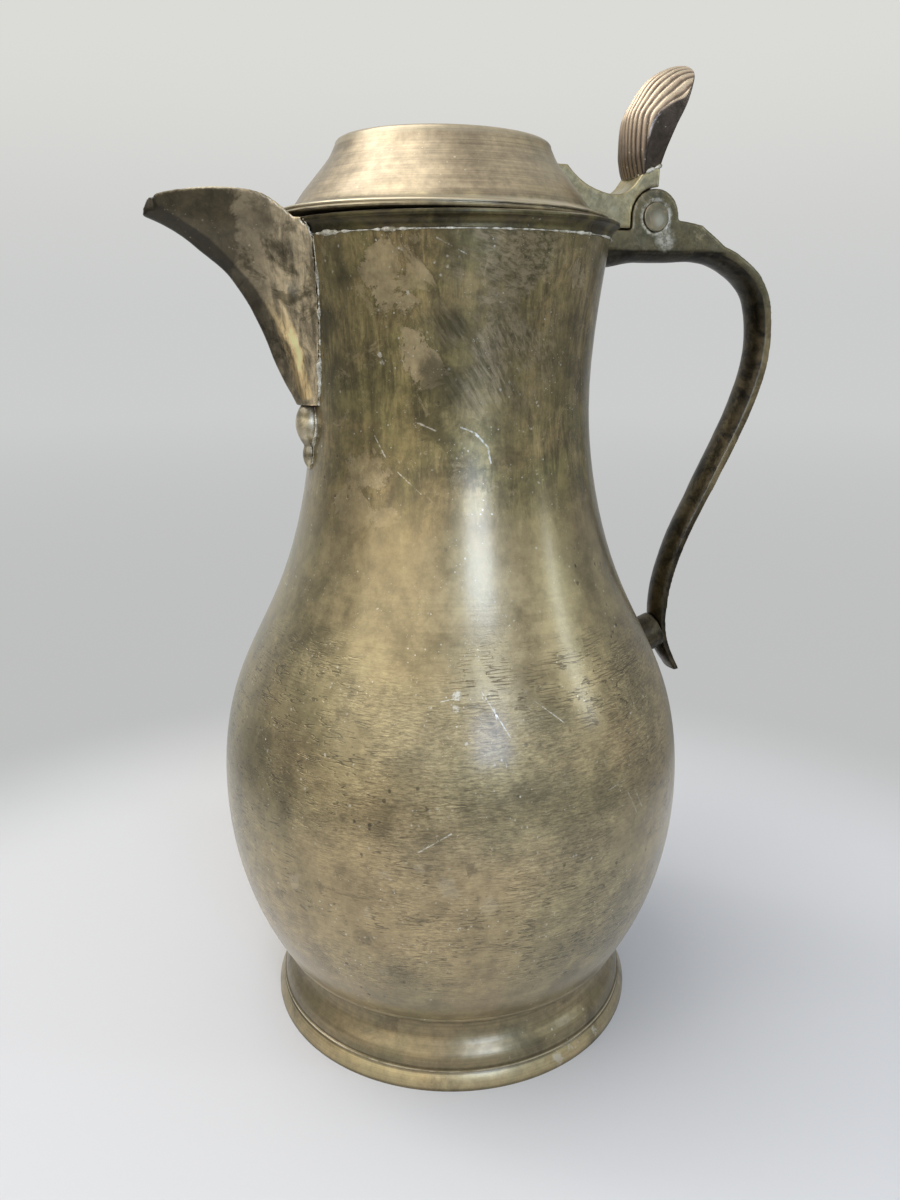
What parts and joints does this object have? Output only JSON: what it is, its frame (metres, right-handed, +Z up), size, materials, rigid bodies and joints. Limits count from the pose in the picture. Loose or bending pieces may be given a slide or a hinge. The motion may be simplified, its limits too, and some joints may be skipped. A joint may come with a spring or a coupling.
{
  "type": "lidded pitcher",
  "caption": "Tall pear-shaped metal pitcher on a spreading foot, with a beaked spout, a strap handle and a hinged lid raised by a ribbed thumbpiece.",
  "frame": {"origin": "on the vessel's axis, in the plane of the foot's underside", "axes": "+Z up along the vessel's axis, +X towards the handle and hinge, -X towards the spout, +Y along the hinge pin"},
  "size_m": [0.2012, 0.1508, 0.3029],
  "materials": {
    "pewter_body": "aged pewter, olive grey with tan patches and fine cracks",
    "pewter_foot": "aged pewter, warm olive, lathe turned",
    "pewter_inside": "dull dark pewter",
    "pewter_spout": "dark aged pewter, worn at its edges",
    "pewter_handle": "cast pewter, greenish grey, polished by the hand",
    "pewter_pin": "grey pewter with a pale crust round it",
    "pewter_lid": "aged pewter with horizontal turning marks",
    "pewter_thumbpiece": "cast pewter, bright on its ribs and dark in its grooves"
  },
  "bodies": {
    "vessel": {"foot_ring": "pewter_foot", "base_disc": "pewter_inside", "belly_bowl": "pewter_body", "upper_body": "pewter_body", "rim_collar": "pewter_body", "spout": "pewter_spout", "spout_drop": "pewter_spout", "handle": "pewter_handle", "handle_strut": "pewter_handle", "hinge_pin": "pewter_pin", "pin_cap_near": "pewter_pin", "pin_cap_far": "pewter_pin"},
    "lid": {"lid": "pewter_lid", "lid_arm": "pewter_handle", "thumbpiece": "pewter_thumbpiece"}
  },
  "joints": [
    {"name": "lid_hinge", "type": "hinge", "parent": "vessel", "child": "lid", "pos_m": [0.0662, 0, 0.2585], "axis": [0, 1, 0], "range_deg": [0, 88]}
  ]
}
